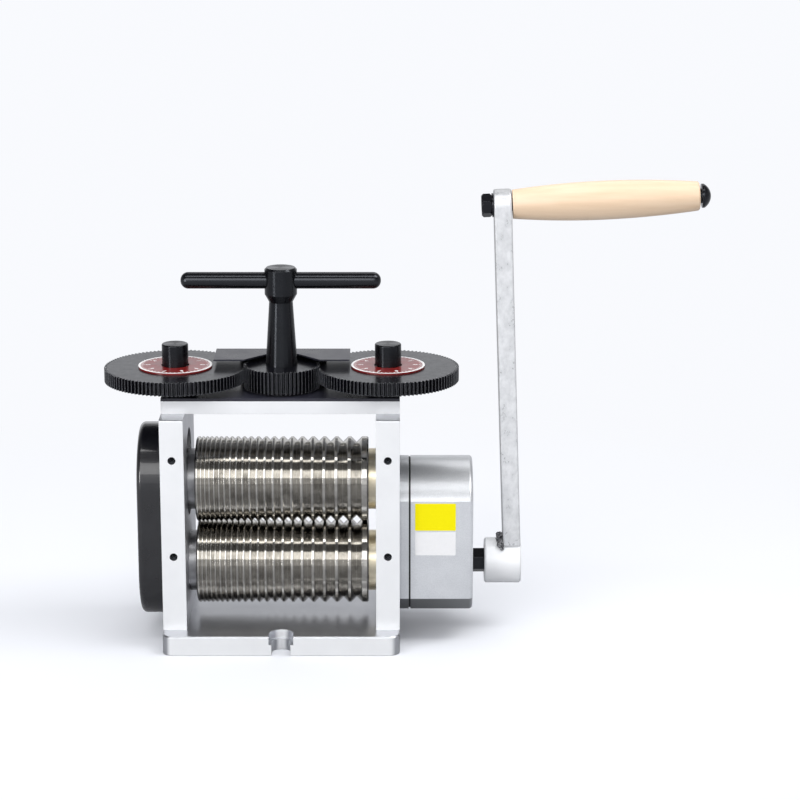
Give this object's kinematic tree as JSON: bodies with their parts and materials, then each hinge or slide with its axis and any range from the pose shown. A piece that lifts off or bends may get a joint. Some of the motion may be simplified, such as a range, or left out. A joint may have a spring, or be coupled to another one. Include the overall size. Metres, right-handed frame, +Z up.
{
  "type": "hand-cranked jewellers rolling mill",
  "caption": "Bench rolling mill for wire: two V-grooved rolls in an aluminium frame, tee handle and twin gears on top, geared side crank with wooden grip.",
  "frame": {"origin": "centre of the base plate's underside, midway between the side plates and under the roll axes", "axes": "+X along the rolls towards the crank, +Y from the feeding side to the delivery side, +Z up"},
  "size_m": [0.3825, 0.112, 0.2946],
  "materials": {
    "satin_aluminium": "fine milled, satin",
    "black_skin": "gloss black sheet",
    "black_oxide": "oiled black oxide",
    "ground_steel": "ground and hardened",
    "plain_steel": "turned",
    "brass": "turned",
    "gloss_black_paint": "gloss enamel",
    "silver_paint": "cast, silver hammer paint",
    "red_dial": "printed disc, red with white marks",
    "gasket": "matt",
    "spring_steel": "drawn",
    "satin_steel": "satin plated",
    "birch": "turned, clear lacquer"
  },
  "bodies": {
    "frame": {"base_plate": "satin_aluminium", "left_side_plate": "satin_aluminium", "right_side_plate": "satin_aluminium", "top_plate": "satin_aluminium", "top_skin": "black_skin", "gear_guard": "black_skin", "guard_screws": "black_oxide", "base_screws": "black_oxide", "top_screws": "black_oxide", "set_screws": "black_oxide", "left_gear_cover": "gloss_black_paint", "left_cover_screws": "black_oxide", "gearbox_plate": "silver_paint", "gearbox_gasket": "gasket", "gearbox_cover": "silver_paint", "gearbox_screws": "black_oxide", "left_lower_bush": "plain_steel", "right_lower_bush": "brass", "left_gear_spacer": "black_oxide", "right_gear_spacer": "black_oxide", "centre_pivot": "plain_steel", "crank_bush": "brass", "lift_springs": "spring_steel"},
    "tee_handle": {"centre_pinion": "black_oxide", "tee_column": "black_oxide", "tee_bar": "black_oxide"},
    "left_gear": {"left_adjusting_gear": "black_oxide", "left_dial": "red_dial"},
    "right_gear": {"right_adjusting_gear": "black_oxide", "right_dial": "red_dial"},
    "upper_carriage": {"left_bearing_block": "plain_steel", "right_bearing_block": "plain_steel", "left_upper_bush": "plain_steel", "right_upper_bush": "brass", "left_pressure_pad": "plain_steel", "right_pressure_pad": "plain_steel"},
    "left_screw": {"left_adjusting_screw": "black_oxide"},
    "right_screw": {"right_adjusting_screw": "black_oxide"},
    "upper_roll": {"upper_roll": "ground_steel", "upper_coupling_gear": "plain_steel", "upper_coupling_key": "plain_steel", "upper_gear_screw": "black_oxide"},
    "lower_roll": {"lower_roll": "ground_steel", "lower_coupling_gear": "plain_steel", "lower_coupling_key": "plain_steel", "lower_gear_screw": "black_oxide", "roll_drive_gear": "plain_steel", "drive_gear_key": "plain_steel"},
    "lay_train": {"lay_shaft": "plain_steel", "lay_gear": "plain_steel", "lay_pinion": "plain_steel"},
    "crank": {"crank_shaft": "black_oxide", "crank_hub": "satin_steel", "crank_arm": "satin_steel", "crank_weld": "satin_steel", "crank_set_screw": "black_oxide", "handle_bolt": "black_oxide", "handle_nut": "black_oxide", "handle_washer": "black_oxide"},
    "grip": {"handle_grip": "birch"}
  },
  "joints": [
    {"name": "tee_turn", "type": "hinge", "parent": "frame", "child": "tee_handle", "pos_m": [0, 0, 0.17], "axis": [0, 0, 1], "range_deg": [-1816, 161]},
    {"name": "left_gear_turn", "type": "hinge", "parent": "frame", "child": "left_gear", "pos_m": [-0.06765, 0, 0.17], "axis": [0, 0, 1], "range_deg": [-85, 961]},
    {"name": "right_gear_turn", "type": "hinge", "parent": "frame", "child": "right_gear", "pos_m": [0.06765, 0, 0.17], "axis": [0, 0, 1], "range_deg": [-85, 961]},
    {"name": "upper_roll_lift", "type": "slide", "parent": "frame", "child": "upper_carriage", "axis": [0, 0, 1], "range_m": [-0.00035, 0.004], "deforming": ["lift_springs"]},
    {"name": "left_screw_turn", "type": "hinge", "parent": "upper_carriage", "child": "left_screw", "pos_m": [-0.06765, 0, 0.15], "axis": [0, 0, 1], "range_deg": [-85, 961]},
    {"name": "right_screw_turn", "type": "hinge", "parent": "upper_carriage", "child": "right_screw", "pos_m": [0.06765, 0, 0.15], "axis": [0, 0, 1], "range_deg": [-85, 961]},
    {"name": "crank_turn", "type": "hinge", "parent": "frame", "child": "crank", "pos_m": [0.12, 0, 0.0455], "axis": [1, 0, 0], "continuous": true},
    {"name": "lay_shaft_turn", "type": "hinge", "parent": "frame", "child": "lay_train", "pos_m": [0.09, 0, 0.0805], "axis": [1, 0, 0], "continuous": true},
    {"name": "lower_roll_turn", "type": "hinge", "parent": "frame", "child": "lower_roll", "pos_m": [0, 0, 0.0455], "axis": [1, 0, 0], "continuous": true},
    {"name": "upper_roll_turn", "type": "hinge", "parent": "upper_carriage", "child": "upper_roll", "pos_m": [0, 0, 0.1004], "axis": [1, 0, 0], "continuous": true},
    {"name": "grip_turn", "type": "hinge", "parent": "crank", "child": "grip", "pos_m": [0.1395, 0, 0.27896], "axis": [0.999, 0, 0.0454], "continuous": true}
  ],
  "couplings": [
    {"joint": "left_gear_turn", "follows": "upper_roll_lift", "rad_per_m": 4188.8},
    {"joint": "right_gear_turn", "follows": "upper_roll_lift", "rad_per_m": 4188.8},
    {"joint": "left_screw_turn", "follows": "upper_roll_lift", "rad_per_m": 4188.8},
    {"joint": "right_screw_turn", "follows": "upper_roll_lift", "rad_per_m": 4188.8},
    {"joint": "tee_turn", "follows": "upper_roll_lift", "rad_per_m": -7920.6},
    {"joint": "upper_roll_turn", "follows": "lower_roll_turn", "ratio": -1},
    {"joint": "lay_shaft_turn", "follows": "lower_roll_turn", "ratio": -1.0588},
    {"joint": "crank_turn", "follows": "lower_roll_turn", "ratio": 4.2353}
  ]
}
